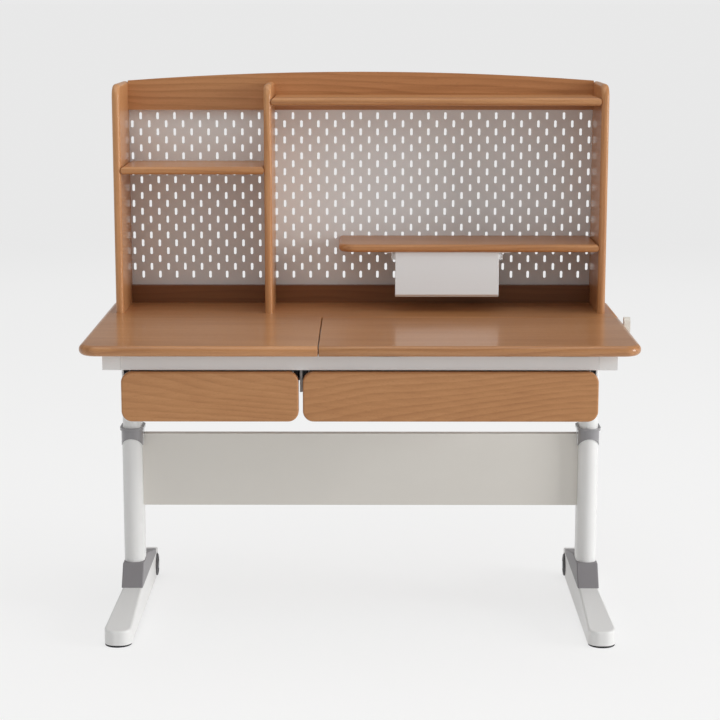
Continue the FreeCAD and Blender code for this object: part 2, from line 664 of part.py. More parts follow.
def make_stay_brackets():
    members = []
    for side, plane, sign in stay_sides():
        x = outward(plane, sign, "(stay_bar / 2 + side_gap)", "bracket_thick")
        plate = box(f"{side}_bracket_plate", (x, "stay_pivot_y - bracket_length / 2",
                    "underside - bracket_height"), ("bracket_thick", "bracket_length", "bracket_height"))
        hole = cylinder(f"{side}_bracket_hole", (x, "stay_pivot_y", "stay_pivot_z"),
                        "stay_pin + run_clear", "bracket_thick", "x")
        members.append(cut(plate, hole))
    group("stay_brackets", members)


def make_stay():
    # Lifting stay: two bars pinned to the top's brackets, joined by the rod that runs in the tracks.
    solids = []
    for side, plane, sign in stay_sides():
        x = f"{plane} - stay_bar / 2"
        solids.append(box(f"{side}_stay_bar", (x, "stay_pivot_y", "stay_pivot_z - stay_width / 2"),
                          ("stay_bar", "stay_length", "stay_width")))
        for end, y in (("upper", "stay_pivot_y"), ("lower", "stay_pivot_y + stay_length")):
            solids.append(cylinder(f"{side}_stay_{end}_eye", (x, y, "stay_pivot_z"), "stay_width / 2",
                                   "stay_bar", "x"))
        pin_length = "stay_bar / 2 + side_gap + bracket_thick"
        pin_x = plane if sign > 0 else f"{plane} - ({pin_length})"
        solids.append(cylinder(f"{side}_stay_pin", (pin_x, "stay_pivot_y", "stay_pivot_z"), "stay_pin",
                               pin_length, "x"))
    overhang = "stay_bar / 2 + track_gap + track_thick"
    solids.append(cylinder("stay_rod", (f"stay_centre - stay_half - ({overhang})",
                           "stay_pivot_y + stay_length", "stay_pivot_z"), "stay_rod",
                           f"2 * stay_half + 2 * ({overhang})", "x"))
    keep(fuse(*solids), "tilt_stay")


def make_stay_track(side, plane, sign):
    # Cross member of the frame with the slot that the stay's rod runs in.
    x = outward(plane, sign, "(stay_bar / 2 + track_gap)", "track_thick")
    plate = box(f"{side}_track_plate", (x, "rail_back", "frame_bottom"),
                ("track_thick", "arm_back - rail_depth - rail_back", "frame_height"))
    half = "stay_rod + stay_slack"
    run_start = ("rail_front + (stay_reach + stay_length) * cos(tilt_limit * 1 deg)"
                 " + stay_drop * sin(tilt_limit * 1 deg)")
    run = f"stay_pivot_y + stay_length - ({run_start})"
    slot_z = "stay_pivot_z - stay_slack / 2"
    slot = box(f"{side}_track_slot", (x, run_start, f"{slot_z} - ({half})"),
               ("track_thick", run, f"2 * ({half})"))
    ends = []
    for end, y in (("front", run_start), ("back", "stay_pivot_y + stay_length")):
        ends.append(cylinder(f"{side}_track_{end}", (x, y, slot_z), half, "track_thick", "x"))
    hole = cylinder(f"{side}_track_hole", (x, "column_y", "shaft_height"), "shaft_hole", "track_thick", "x")
    keep(cut(plate, fuse(slot, *ends), hole), f"{side}_stay_track")


def make_crank():
    # One shaft drives both gearboxes; the crank folds flat outside the top's right edge.
    left_end = "-(arm_in + arm_width / 2 + gear_width / 2)"
    keep(cylinder("crank_rod", (left_end, "column_y", "shaft_height"), "shaft_radius",
                  f"crank_recess - ({left_end})", "x"), "crank_shaft")
    half = "crank_width / 2"
    length = "crank_rise + crank_drop"
    low = "shaft_height - crank_drop"
    solids, hollow = [], []
    for name, radius, x, depth, members in (
            ("crank_case", half, "crank_in", "crank_thick", solids),
            ("crank_hollow", f"{half} - crank_wall", "crank_recess", "crank_thick - crank_floor", hollow)):
        members.append(box(name + "_body", (x, f"column_y - ({radius})", low),
                           (depth, f"2 * ({radius})", length)))
        for end, z in (("low", low), ("high", "grip_z")):
            members.append(cylinder(f"{name}_{end}", (x, "column_y", z), radius, depth, "x"))
    bore = cylinder("crank_bore", ("crank_in", "column_y", "shaft_height"), "shaft_radius + run_clear",
                    "crank_floor", "x")
    seat_length = f"2 * ({half} - crank_wall + pivot_length + run_clear)"
    seat = cylinder("crank_pivot_seat", ("grip_x", f"column_y - ({seat_length}) / 2", "grip_z"),
                    "pivot_radius + run_clear", seat_length, "y")
    keep(cut(fuse(*solids), fuse(*hollow), bore, seat), "crank_arm")
    grip_end = f"{low} - ({half} - crank_wall - grip_clear - grip_radius)"
    bar = cylinder("grip_bar", ("grip_x", "column_y", grip_end), "grip_radius", f"grip_z - ({grip_end})")
    pivot_length = f"2 * ({half} - crank_wall + pivot_length)"
    pivot = cylinder("grip_pivot", ("grip_x", f"column_y - ({pivot_length}) / 2", "grip_z"), "pivot_radius",
                     pivot_length, "y")
    knuckle = cylinder("grip_knuckle", ("grip_x", "column_y - grip_radius", "grip_z"), "grip_radius",
                       "2 * grip_radius", "y")
    keep(fuse(bar, knuckle, pivot), "crank_grip")


def make_modesty_panel():
    # Folded sheet between the outer columns, with flanges to the back and corners cut to clear the collars.
    inner = "panel_sheet"
    outline = [("0", "0"), ("panel_flange", "0"), ("panel_flange", inner), (inner, inner),
               (inner, f"panel_height - {inner}"), ("panel_flange", f"panel_height - {inner}"),
               ("panel_flange", "panel_height"), ("0", "panel_height")]
    width = "column_spacing - column_width"
    corner = (f"-({width}) / 2", "column_y - panel_flange / 2", "panel_bottom")
    sheet_body = prism("panel_sheet_body", "YZ_Plane", outline, width, corner)
    notch_width = "collar_wall + notch_clear"
    notch_z = "column_top - collar_drop - notch_clear"
    notch_sizes = (notch_width, "panel_flange", f"panel_bottom + panel_height - ({notch_z})")
    starts = (("left", f"-({width}) / 2"), ("right", f"({width}) / 2 - ({notch_width})"))
    notches = [box(f"{side}_panel_notch", (x, corner[1], notch_z), notch_sizes) for side, x in starts]
    keep(cut(sheet_body, *notches), "modesty_panel")


def make_hangers():
    # Plates that hang the drawer runners from the frame's arms and from the fixed top.
    plate = ("hanger_thick", "hanger_length", "underside - hanger_bottom")
    keep(box("left_hanger", ("-arm_in", "hanger_y", "hanger_bottom"), plate), "left_drawer_hanger")
    keep(box("right_hanger", ("arm_in - hanger_thick", "hanger_y", "hanger_bottom"), plate),
         "right_drawer_hanger")
    keep(box("middle_hanger", ("-middle_left - middle_thick / 2", "hanger_y", "hanger_bottom"),
             ("middle_thick", "hanger_length", "underside - hanger_bottom")), "middle_drawer_hanger")


def drawer_bays():
    # Each drawer with its front's ends and the hanger faces that its runners sit on.
    gap = "front_space / 2"
    return (("left", "-front_span / 2", f"-middle_left - {gap}", "-arm_in + hanger_thick",
             "-middle_left - middle_thick / 2"),
            ("right", f"-middle_left + {gap}", "front_span / 2", "-middle_left + middle_thick / 2",
             "arm_in - hanger_thick"))


def runner_profile(sign):
    # Channel on the hanger, open towards the drawer.
    points = [("0", "0"), ("runner_lip", "0"), ("runner_lip", "runner_sheet"),
              ("runner_sheet", "runner_sheet"), ("runner_sheet", "runner_height - runner_sheet"),
              ("runner_lip", "runner_height - runner_sheet"), ("runner_lip", "runner_height"),
              ("0", "runner_height")]
    if sign > 0:
        return points
    return [(f"runner_lip - {x}", z) for x, z in reversed(points)]


def make_drawer(side, front_left, front_right, bay_left, bay_right):
    width = f"{front_right} - ({front_left})"
    body = prism(f"{side}_front_board", "XZ_Plane", rectangle(width, "front_height"), "front_thick",
                 (front_left, "front_y", "front_bottom"))
    fillet(body, "front_corner", lambda edge: along(edge, "y"))
    fillet(body, "front_edge", lambda edge: edge.BoundBox.YLength < 1e-6 and near(edge.BoundBox.YMin, "0"))
    keep(body, f"{side}_drawer_front")
    tray_left = f"{bay_left} + runner_space"
    tray_width = f"{bay_right} - ({bay_left}) - 2 * runner_space"
    tray = box(f"{side}_tray_box", (tray_left, "tray_y", "tray_bottom"),
               (tray_width, "tray_depth", "tray_height"))
    inside = box(f"{side}_tray_inside", (f"{tray_left} + tray_wall", "tray_y + tray_wall",
                 "tray_bottom + tray_wall"), (f"{tray_width} - 2 * tray_wall", "tray_depth - 2 * tray_wall",
                 "tray_height - tray_wall"))
    keep(cut(tray, inside), f"{side}_drawer_tray")
    channels, bars = [], []
    bar_thick = "runner_space - runner_sheet - 5 * runner_clear"
    bar_height = "runner_height - 2 * runner_sheet - 2 * runner_clear"
    for end, sign, face in (("near", 1, bay_left), ("far", -1, bay_right)):
        channel_x = face if sign > 0 else f"{face} - runner_lip"
        channels.append(prism(f"{side}_{end}_channel", "XZ_Plane", runner_profile(sign), "runner_length",
                              (channel_x, "runner_y", "runner_z")))
        bar_x = f"{face} + runner_space - ({bar_thick})" if sign > 0 else f"{face} - runner_space"
        bars.append(box(f"{side}_{end}_bar", (bar_x, "runner_y", "runner_z + runner_sheet + runner_clear"),
                        (bar_thick, "runner_length", bar_height)))
    group(f"{side}_outer_runners", channels)
    group(f"{side}_inner_runners", bars)


def upright_board(name, x, rebate):
    # Hutch upright with a rounded upper front corner; an end board is rebated for the back sheet.
    depth = "hutch_depth" if rebate else "hutch_depth - sheet_thick"
    body = prism(name + "_board", "YZ_Plane", rectangle(depth, "hutch_height"), "board",
                 (x, "hutch_front", "top_height"))
    fillet(body, "hutch_round", lambda edge: along(edge, "x") and near(edge.BoundBox.YMax, "0")
           and near(edge.BoundBox.ZMin, "hutch_height"))
    fillet(body, "board_edge", lambda edge: edge.BoundBox.XLength < 1e-6 and not along(edge, "z")
           and edge.BoundBox.ZMax > number("hutch_height") - number("hutch_round") - 1
           or along(edge, "z") and near(edge.BoundBox.YMax, "0"))
    if rebate:
        groove_x = f"{x} + board - sheet_tongue" if rebate == "right" else x
        cuts = [box(name + "_rebate", (groove_x, "sheet_front", "sheet_low"),
                    ("sheet_tongue", "sheet_thick", "sheet_high - (sheet_low)"))]
    else:
        cuts = [box(name + "_low_notch", (x, "board_back", "top_height"), ("board", "board", "rail_low")),
                box(name + "_high_notch", (x, "board_back", "top_height + rail_high_bottom"),
                    ("board", "board", "hutch_height - rail_high_bottom"))]
    keep(cut(body, *cuts), name)


def make_uprights():
    upright_board("hutch_left_side", "-hutch_half", "right")
    upright_board("hutch_right_side", "hutch_half - board", "left")
    upright_board("hutch_divider", "divider_x", "")


def shelf(name, x, width, z, depth, corner=None):
    # A shelf with a rounded front edge and, at a free end, a rounded corner.
    body = prism(name + "_board", "XY_Plane", rectangle(width, depth), "board",
                 (x, "hutch_front", f"top_height + {z}"))
    if corner:
        fillet(body, corner, lambda edge: along(edge, "z") and near(edge.BoundBox.XMax, "0")
               and near(edge.BoundBox.YMax, "0"))
    fillet(body, "board_edge", lambda edge: edge.BoundBox.ZLength < 1e-6 and (
        edge.BoundBox.YMin < 1e-6 or corner and near(edge.BoundBox.XMax, "0")))
    keep(body, name)


def make_shelves():
    to_sheet = "hutch_depth - sheet_thick"
    shelf("hutch_left_shelf", "-hutch_inner", "hutch_inner - divider_left", "left_shelf", to_sheet)
    shelf("hutch_top_shelf", "divider_x + board", "hutch_inner - (divider_x + board)", "top_shelf",
          "hutch_depth - board")
    shelf("hutch_low_shelf", "-low_shelf_left", "hutch_inner + low_shelf_left", "low_shelf", to_sheet,
          "low_shelf_round")


def make_back_rails():
    width = "2 * hutch_inner"
    low = prism("low_back_board", "XZ_Plane", rectangle(width, "rail_low"), "board",
                ("-hutch_inner", "board_back", "top_height"))
    low_rebate = box("low_back_rebate", ("-hutch_inner", "sheet_front", "sheet_low"),
                     (width, "sheet_thick", "top_height + rail_low - (sheet_low)"))
    keep(cut(low, low_rebate), "lower_back_rail")
    body = new_body("high_back_board")
    sketch = new_sketch(body, "XZ_Plane")
    half, end, crown = number("hutch_inner"), number("rail_end"), number("rail_end + rail_crown")
    corners = [FreeCAD.Vector(x, z, 0) for x, z in ((0, end), (0, 0), (2 * half, 0), (2 * half, end))]
    for start, stop in zip(corners, corners[1:]):
        sketch.addGeometry(Part.LineSegment(start, stop), False)
    arch = Part.Arc(corners[3], FreeCAD.Vector(half, crown, 0), corners[0])
    sketch.addGeometry(arch, False)
    for first, second in ((0, 1), (1, 2)):
        sketch.addConstraint(Sketcher.Constraint("Coincident", first, 2, second, 1))
    sketch.addConstraint(Sketcher.Constraint("Coincident", 2, 2, 3, 1))
    sketch.addConstraint(Sketcher.Constraint("Coincident", 3, 2, 0, 1))
    for line, x, z in ((0, "0", "rail_end"), (1, "0", "0"), (2, width, "0")):
        tie(sketch, "DistanceX", line, x)
        tie(sketch, "DistanceY", line, z)
    sketch.addConstraint(Sketcher.Constraint("Vertical", 2))
    sketch.addConstraint(Sketcher.Constraint("Horizontal", 0, 1, 2, 2))
    radius = "(hutch_inner * hutch_inner + rail_crown * rail_crown) / (2 * rail_crown)"
    index = sketch.addConstraint(Sketcher.Constraint("Radius", 3, number(radius)))
    sketch.setExpression(f"Constraints[{index}]", expression(radius))
    pad(body, sketch, "board", reverse=True)
    place(body, "-hutch_inner", "board_back", "top_height + rail_high_bottom")
    high_rebate = box("high_back_rebate", ("-hutch_inner", "sheet_front", "top_height + rail_high_bottom"),
                      (width, "sheet_thick", "sheet_high - (top_height + rail_high_bottom)"))
    keep(cut(body, high_rebate), "upper_back_rail")


def make_slotted_sheet():
    # Back sheet with staggered upright slots: odd rows sit half a pitch over and have one slot more.
    half = number("hutch_inner + sheet_tongue - sheet_clear")
    low, high = number("sheet_low + sheet_clear"), number("sheet_high - sheet_clear")
    pitch, step = number("slot_pitch"), number("slot_row")
    width, length = number("slot_width"), number("slot_length")
    wide_row = int(number("2 * hutch_inner - 2 * slot_margin - slot_width") / pitch) + 1
    top_row = number("top_height + rail_high_bottom - slot_above - slot_length / 2")
    lowest_row = number("top_height + rail_low + slot_below + slot_length / 2")
    rows = int((top_row - lowest_row) / step) + 1
    thickness = FreeCAD.Vector(0, number("sheet_thick"), 0)

    def frame(left, bottom, right, top):
        corners = ((left, bottom), (right, bottom), (right, top), (left, top), (left, bottom))
        return Part.makePolygon([FreeCAD.Vector(x, 0, z) for x, z in corners])

    wires = [frame(-half, low, half, high)]
    for row in range(rows):
        z = top_row - row * step
        count = wide_row - 1 + row % 2
        for column in range(count):
            x = (column - (count - 1) / 2) * pitch
            wires.append(frame(x - width / 2, z - length / 2, x + width / 2, z + length / 2))
    item = doc.addObject("Part::Feature", "slotted_sheet")
    item.Shape = Part.makeFace(wires, "Part::FaceMakerCheese").extrude(thickness)
    item.Placement = FreeCAD.Placement(FreeCAD.Vector(0, number("sheet_front"), 0), FreeCAD.Rotation())
    keep(item, "slotted_back_sheet")


def make_pencil_box():
    # Small drawer under the low shelf; its lips run on two holders screwed to the shelf.
    left = "box_centre - box_width / 2"
    body_left = f"{left} + box_side"
    body_width = "box_width - 2 * box_side"
    floor = "box_bottom + box_floor_rise"
    top = "lip_bottom + box_lip_thick"
    front = box("box_front_plate", (left, "box_y", "box_bottom"),
                ("box_width", "box_front", "box_height - rest_gap"))
    body = box("box_body", (body_left, "box_y + box_front", floor),
               (body_width, "box_depth - box_front", f"{top} - ({floor})"))
    lips = []
    for side, x in (("left", f"{body_left} - box_lip"), ("right", f"{body_left} + {body_width}")):
        lips.append(box(f"box_{side}_lip", (x, "box_y + box_front", "lip_bottom"),
                        ("box_lip", "box_depth - box_front", "box_lip_thick")))
    inside = box("box_inside", (f"{body_left} + box_wall", "box_y + box_front", f"{floor} + box_wall"),
                 (f"{body_width} - 2 * box_wall", "box_depth - box_front - box_wall", "box_height"))
    keep(cut(fuse(front, body, *lips), inside), "pencil_box")


def make_box_holder(side, sign):
    # Hooked holder: a flange under the shelf, a wall and the ledge that the box's lip runs on.
    height = "box_lip_drop + rest_gap + holder_sheet"
    ledge_end = "holder_out + box_side - 2 * rest_gap"
    wall = "holder_out + box_side - box_lip - 2 * rest_gap - holder_sheet"
    under = f"{height} - holder_sheet"
    outline = [(wall, "0"), (ledge_end, "0"), (ledge_end, "holder_sheet"),
               (f"{wall} + holder_sheet", "holder_sheet"), (f"{wall} + holder_sheet", under),
               ("holder_out", under), ("holder_out", height), ("0", height), ("0", under), (wall, under)]
    x = "box_centre - box_width / 2 - holder_out"
    if sign > 0:
        outline = [(f"{ledge_end} - ({across})", up) for across, up in reversed(outline)]
        x = f"box_centre + box_width / 2 + holder_out - ({ledge_end})"
    keep(prism(f"{side}_holder_bar", "XZ_Plane", outline, "box_depth - box_front - rest_gap",
               (x, "box_y + box_front + rest_gap", f"shelf_under - ({height})")), f"{side}_box_holder")


def check_and_write():
    for item in doc.Objects:
        if "Invalid" in item.State or "Error" in item.State:
            raise RuntimeError(f"{item.Label} failed: {item.State}")
    os.makedirs("parts", exist_ok=True)
    for item in pieces:
        shape = item.Shape
        if shape.isNull() or not shape.isValid() or not shape.Solids:
            raise RuntimeError(f"{item.Label} has no sound solid")
        shape.exportStep(f"parts/{item.Label}.step")
    print(f"{len(pieces)} sub-parts written")


def build():
    for side, sign in LEFT_RIGHT:
        make_foot(side, sign)
        make_wheel(side, sign)
        make_outer_column(side, sign)
        make_collar(side, sign)
        make_foot_cover(side, sign)
        make_inner_column(side, sign)
        make_nut_post(side, sign)
        make_screw(side, sign)
        make_gearbox(side, sign)
        make_arm(side, sign)
        make_box_holder(side, sign)
    make_glides()
    make_axles()
    make_modesty_panel()
    make_rails()
    make_fixed_top()
    make_tilting_top()
    make_hinges()
    make_stay_brackets()
    make_stay()
    for stay_side in stay_sides():
        make_stay_track(*stay_side)
    make_crank()
    make_hangers()
    for bay in drawer_bays():
        make_drawer(*bay)
    make_uprights()
    make_shelves()
    make_back_rails()
    make_slotted_sheet()
    make_pencil_box()
    doc.recompute()


build()
check_and_write()
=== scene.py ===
import json
import math

import bmesh
import bpy
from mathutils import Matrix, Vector


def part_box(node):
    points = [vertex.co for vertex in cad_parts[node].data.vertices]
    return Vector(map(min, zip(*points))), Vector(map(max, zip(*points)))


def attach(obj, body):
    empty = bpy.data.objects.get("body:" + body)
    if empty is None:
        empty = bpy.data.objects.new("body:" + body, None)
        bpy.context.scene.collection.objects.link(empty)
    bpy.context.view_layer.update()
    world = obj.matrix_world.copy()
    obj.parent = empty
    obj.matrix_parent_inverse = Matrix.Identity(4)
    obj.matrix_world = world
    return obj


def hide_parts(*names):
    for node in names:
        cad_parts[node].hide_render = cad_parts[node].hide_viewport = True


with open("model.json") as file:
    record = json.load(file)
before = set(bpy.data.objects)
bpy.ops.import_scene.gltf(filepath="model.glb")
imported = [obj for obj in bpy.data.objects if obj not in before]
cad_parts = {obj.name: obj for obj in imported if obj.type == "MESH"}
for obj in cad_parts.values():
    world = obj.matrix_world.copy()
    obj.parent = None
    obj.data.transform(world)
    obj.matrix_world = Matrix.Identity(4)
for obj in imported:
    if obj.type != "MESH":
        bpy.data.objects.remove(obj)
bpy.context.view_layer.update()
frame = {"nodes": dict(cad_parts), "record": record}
nodes = frame["nodes"]
scene = bpy.context.scene
scene.view_settings.view_transform = "Standard"
print("frame loaded:", len(nodes), "nodes")


class Wire:  # a shader socket that takes part in Python sums
    def __init__(self, tree, socket=None):
        self.tree = tree
        self.socket = socket

    def node(self, kind, settings=None, values=None, out=0):
        made = self.tree.nodes.new(kind)
        for name, value in (settings or {}).items():
            if name == "stops":
                setStops(made.color_ramp, value)
            else:
                setattr(made, name, value)
        for name, value in (values or {}).items():
            if isinstance(value, Wire):
                self.tree.links.new(value.socket, made.inputs[name])
            else:
                made.inputs[name].default_value = value
        return Wire(self.tree, made.outputs[out] if len(made.outputs) else None)

    def math(self, operation, *terms):
        return self.node("ShaderNodeMath", {"operation": operation}, dict(enumerate(terms)))

    def __add__(self, other):
        return self.math("ADD", self, other)

    def __sub__(self, other):
        return self.math("SUBTRACT", self, other)

    def __rsub__(self, other):
        return self.math("SUBTRACT", other, self)

    def __mul__(self, other):
        return self.math("MULTIPLY", self, other)

    def __truediv__(self, other):
        return self.math("DIVIDE", self, other)

    def __rtruediv__(self, other):
        return self.math("DIVIDE", other, self)

    def __pow__(self, other):
        return self.math("POWER", self, other)

    def __rpow__(self, other):
        return self.math("POWER", other, self)

    __radd__ = __add__
    __rmul__ = __mul__


def setStops(ramp, stops):
    while len(ramp.elements) < len(stops):
        ramp.elements.new(0.5)
    for element, (place, colour) in zip(ramp.elements, stops):
        element.position = place
        element.color = colour


def srgb(red, green, blue):  # 0-255 screen values to a linear colour
    parts = [value / 255 for value in (red, green, blue)]
    linear = [part / 12.92 if part <= 0.04045 else ((part + 0.055) / 1.055) ** 2.4 for part in parts]
    return (*linear, 1.0)


def newFinish(name):
    finish = bpy.data.materials.new(name)
    finish.use_nodes = True
    finish.node_tree.nodes.clear()
    return finish, Wire(finish.node_tree)


def mixColour(wire, factor, first, second):
    return wire.node("ShaderNodeMix", {"data_type": "RGBA"}, {0: factor, 6: first, 7: second}, 2)


def objectPlace(wire):
    return wire.node("ShaderNodeTexCoord", None, None, "Object")


def noise(wire, place, scale, detail, roughness):
    return wire.node("ShaderNodeTexNoise", None,
                     {"Vector": place, "Scale": scale, "Detail": detail, "Roughness": roughness})


def drawnNoise(wire, place, stretch, detail, roughness):  # noise with its own scale on each axis
    drawn = wire.node("ShaderNodeVectorMath", {"operation": "MULTIPLY"}, {0: place, 1: stretch})
    return noise(wire, drawn, 1.0, detail, roughness)


def swing(value):  # noise about zero
    return value - 0.5


def eased(wire, value, low, high):  # 0 below low, 1 above high
    return wire.node("ShaderNodeMapRange", {"clamp": True, "interpolation_type": "SMOOTHSTEP"},
                     {"Value": value, "From Min": low, "From Max": high, "To Min": 0.0, "To Max": 1.0})


def shaded(wire, values, bump, strength, distance):
    values["Normal"] = wire.node("ShaderNodeBump", None,
                                 {"Height": bump, "Strength": strength, "Distance": distance})
    surface = wire.node("ShaderNodeBsdfPrincipled", None, values)
    wire.node("ShaderNodeOutputMaterial", None, {"Surface": surface})


# wood: growth rings round a line beside the board, bent by slow noise, with fine flecks along the grain
# each noise: stretch along the grain and across it (1/m), detail, roughness
wood = {
    "light": srgb(207, 152, 103), "middle": srgb(192, 136, 88), "dark": srgb(165, 111, 68),
    "deep": srgb(112, 70, 42), "middleAt": 0.27, "darkAt": 0.6, "depthScale": 0.6, "evenDepth": 0.43,
    "slow": ((1.6, 5.0, 5.0), 2.5, 0.45), "wander": 0.05,
    "fine": ((9.0, 60.0, 60.0), 3.0, 0.55), "fineWander": 0.0035,
    "ringSpacing": 0.0105, "lateRise": 2.0, "lateFall": 12, "lateMiddle": 0.2, "lateShare": 0.5,
    "patch": ((1.1, 7.0, 7.0), 2.0, 0.5), "patchShare": 0.9,
    "streak": ((4.0, 150.0, 150.0), 2.0, 0.6), "streakShare": 0.8,
    "flecks": ((1 / 0.011, 1 / 0.0007, 1 / 0.0007), 1.0, 0.5), "fleckRange": (0.6, 0.74),
    "fleck": srgb(140, 90, 54), "fleckShare": 0.35,
    "roughness": 0.38, "patchRoughness": 0.1, "fleckRoughness": 0.12, "specular": 0.3, "coatRoughness": 0.15,
    "fleckPit": -0.6, "latePit": -0.25, "bump": 0.15, "bumpDepth": 0.0004,
}


def woodFinish(name, along, heart, tone, slope, coat, contrast=1.0):
    finish, wire = newFinish(name)
    place = objectPlace(wire)
    axes = {axis: wire.node("ShaderNodeSeparateXYZ", None, {"Vector": place}, axis) for axis in "XYZ"}
    sides = [axis for axis in "XYZ" if axis != along]
    run = axes[along]
    first = axes[sides[0]] - heart[0] + run * slope
    second = axes[sides[1]] - heart[1]
    grain = wire.node("ShaderNodeCombineXYZ", None, {"X": run, "Y": first, "Z": second})
    slow, fine, patch, streak, flecks = (drawnNoise(wire, grain, *wood[kind])
                                         for kind in ("slow", "fine", "patch", "streak", "flecks"))
    radius = (first * first + second * second) ** 0.5
    bent = radius + swing(slow) * wood["wander"] + swing(fine) * wood["fineWander"]
    year = bent / wood["ringSpacing"]
    ring = year.math("FRACT", year)
    late = ring ** wood["lateRise"] * (1 - ring ** wood["lateFall"])  # slow rise to the dark edge, quick fall
    fleck = eased(wire, flecks, *wood["fleckRange"])
    figure = ((late - wood["lateMiddle"]) * wood["lateShare"] + swing(streak) * wood["streakShare"]
              + swing(patch) * wood["patchShare"])
    depth = figure * contrast + (wood["evenDepth"] - tone)
    stops = [(0.0, wood["light"]), (wood["middleAt"], wood["middle"]), (wood["darkAt"], wood["dark"]),
             (1.0, wood["deep"])]
    colour = wire.node("ShaderNodeValToRGB", {"stops": stops}, {"Fac": depth * wood["depthScale"]})
    colour = mixColour(wire, fleck * wood["fleckShare"], colour, wood["fleck"])
    roughness = swing(patch) * wood["patchRoughness"] + fleck * wood["fleckRoughness"] + wood["roughness"]
    shaded(wire, {"Base Color": colour, "Roughness": roughness, "Specular IOR Level": wood["specular"],
                  "Coat Weight": coat, "Coat Roughness": wood["coatRoughness"]},
           fleck * wood["fleckPit"] + late * wood["latePit"], wood["bump"], wood["bumpDepth"])
    return finish


# paint: powder coat or moulded plastic, with a fine grain and broad clouds
paint = {"fineDetail": (2.0, 0.6), "fineShare": 0.3, "fineRoughness": 0.12,
         "broadScale": 7.0, "broadDetail": (3.0, 0.5), "broadShare": 0.7, "broadRoughness": 0.1,
         "bumpDepth": 0.0003, "coatRoughness": 0.22}


def paintFinish(name, colour, shade, roughness, grain, bump, coat=0.0):
    finish, wire = newFinish(name)
    place = objectPlace(wire)
    fine = noise(wire, place, grain, *paint["fineDetail"])
    broad = noise(wire, place, paint["broadScale"], *paint["broadDetail"])
    cloud = broad * paint["broadShare"] + fine * paint["fineShare"]
    tint = mixColour(wire, cloud, srgb(*colour), srgb(*shade))
    varied = swing(broad) * paint["broadRoughness"] + swing(fine) * paint["fineRoughness"] + roughness
    shaded(wire, {"Base Color": tint, "Roughness": varied, "Coat Weight": coat,
                  "Coat Roughness": paint["coatRoughness"]}, fine, bump, paint["bumpDepth"])
    return finish


# plated steel with drawn lines along Y
steel = {"lines": ((900.0, 12.0, 900.0), 2.0, 0.6), "linesShare": 0.5, "linesRoughness": 0.2,
         "cloudScale": 40.0, "cloudDetail": (3.0, 0.55), "cloudShare": 0.5, "cloudRoughness": 0.1,
         "roughness": 0.22, "bump": 0.1, "bumpDepth": 0.0002}


def steelFinish(name, colour, shade):
    finish, wire = newFinish(name)
    place = objectPlace(wire)
    lines = drawnNoise(wire, place, *steel["lines"])
    cloud = noise(wire, place, steel["cloudScale"], *steel["cloudDetail"])
    worn = lines * steel["linesShare"] + cloud * steel["cloudShare"]
    tint = mixColour(wire, worn, srgb(*colour), srgb(*shade))
    roughness = lines * steel["linesRoughness"] + cloud * steel["cloudRoughness"] + steel["roughness"]
    shaded(wire, {"Base Color": tint, "Metallic": 1.0, "Roughness": roughness},
           lines, steel["bump"], steel["bumpDepth"])
    return finish


def dress(piece, finish):
    piece.data.materials.clear()
    piece.data.materials.append(finish)


# each board: the grain's direction, its heart (m), how light it is, the grain's slope, the lacquer's weight
# and, where it isn't 1, how strongly the grain shows
boards = {
    "fixed_top": ("X", (0.32, 0.50), -0.04, 0.02, 0.5),
    "tilting_top": ("X", (-0.46, 0.53), -0.04, -0.015, 0.5),
    "left_drawer_front": ("X", (-0.35, 0.66), 0.06, -0.11, 0.2, 0.75),
    "right_drawer_front": ("X", (-0.42, 0.44), 0.04, -0.12, 0.2, 0.75),
    "hutch_left_side": ("Z", (-0.71, 0.05), 0.42, 0.01, 0.3),
    "hutch_right_side": ("Z", (0.70, 0.03), 0.1, -0.01, 0.3),
    "hutch_divider": ("Z", (-0.33, 0.0), 0.1, 0.015, 0.3),
    "hutch_left_shelf": ("X", (0.10, 0.90), 0.06, 0.02, 0.3),
    "hutch_top_shelf": ("X", (0.08, 1.30), 0.06, 0.01, 0.3),
    "hutch_low_shelf": ("X", (0.05, 0.72), 0.06, -0.02, 0.3),
    # the lower back rail's tone of -1.0 makes it far darker than the other boards: painted shade from the
    # hutch above it, with its grain weakened to 0.3
    "lower_back_rail": ("X", (0.40, 0.60), -1.0, 0.01, 0.1, 0.3),
    "upper_back_rail": ("X", (0.42, 1.08), -0.06, -0.015, 0.15),
}
for board, choices in boards.items():
    dress(nodes[board], woodFinish(board + "_grain", *choices))
print("boards finished:", len(boards))

# one finish for each material slot; colours are screen values
finishes = {
    "white_steel": paintFinish("white_powder_coat", (245, 245, 244), (240, 240, 239),
                               roughness=0.42, grain=700.0, bump=0.12, coat=0.3),
    "white_sheet": paintFinish("matte_sheet_coat", (246, 250, 252), (240, 244, 246),
                               roughness=0.5, grain=600.0, bump=0.12),
    "grey_plastic": paintFinish("grey_moulding", (150, 147, 150), (140, 137, 140),
                                roughness=0.46, grain=1500.0, bump=0.2),
    "white_plastic": paintFinish("white_moulding", (247, 252, 255), (243, 248, 251),
                                 roughness=0.38, grain=1500.0, bump=0.12),
    "zinc_steel": steelFinish("zinc_plate", (196, 198, 200), (164, 166, 168)),
    "black_rubber": paintFinish("black_sole", (38, 38, 40), (28, 28, 29),
                                roughness=0.7, grain=900.0, bump=0.3),
    "dark_plastic": paintFinish("dark_wheel", (92, 91, 94), (80, 79, 82),
                                roughness=0.5, grain=1200.0, bump=0.2),
}
for part in frame["record"]["subparts"]:
    if part["node"] not in boards:
        dress(nodes[part["node"]], finishes[part["material_slot"]])

